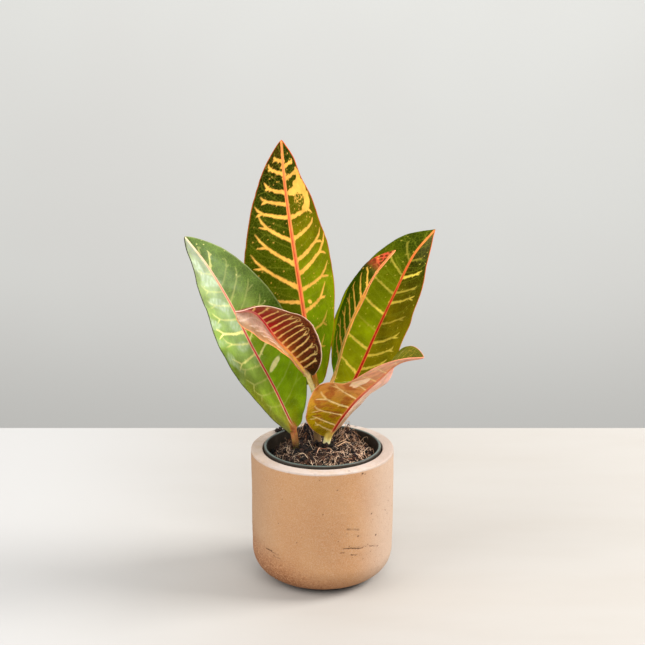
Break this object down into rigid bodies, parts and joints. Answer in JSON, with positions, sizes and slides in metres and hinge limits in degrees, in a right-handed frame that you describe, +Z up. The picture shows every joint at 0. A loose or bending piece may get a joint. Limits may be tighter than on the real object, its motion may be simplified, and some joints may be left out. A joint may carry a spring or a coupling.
{
  "type": "potted croton",
  "caption": "Small croton with long folded, veined leaves on a short stem, rooted in soil in a nursery pot inside a thick round planter.",
  "frame": {"origin": "centre of the planter's foot, on the surface that it stands on", "axes": "+Z up along the plant's height; the leaves' upper faces look mostly towards -Y; +X to the right seen from there"},
  "size_m": [0.1324, 0.0846, 0.2322],
  "materials": {
    "earthenware": "matt unglazed, with pores and fine cracks",
    "black_plastic": "satin moulded",
    "potting_soil": "rough crumbs of bark, peat and fibre",
    "stem_bark": "smooth young bark",
    "leaf_green_whitish": "glossy leaf with pale veins and a red midrib",
    "leaf_dark_green": "glossy leaf with broad orange-yellow veins",
    "leaf_maroon": "glossy maroon leaf with fine pink veins",
    "leaf_olive": "glossy leaf with yellow veins and a red midrib",
    "leaf_orange_under": "satin orange and salmon underside, green upper side"
  },
  "bodies": {
    "root": {"planter_pot": "earthenware", "nursery_pot": "black_plastic", "soil": "potting_soil", "main_stem": "stem_bark", "leaf_left": "leaf_green_whitish", "leaf_centre": "leaf_dark_green", "leaf_small_front": "leaf_maroon", "leaf_right_narrow": "leaf_dark_green", "leaf_right": "leaf_olive", "leaf_front": "leaf_orange_under"}
  },
  "joints": []
}
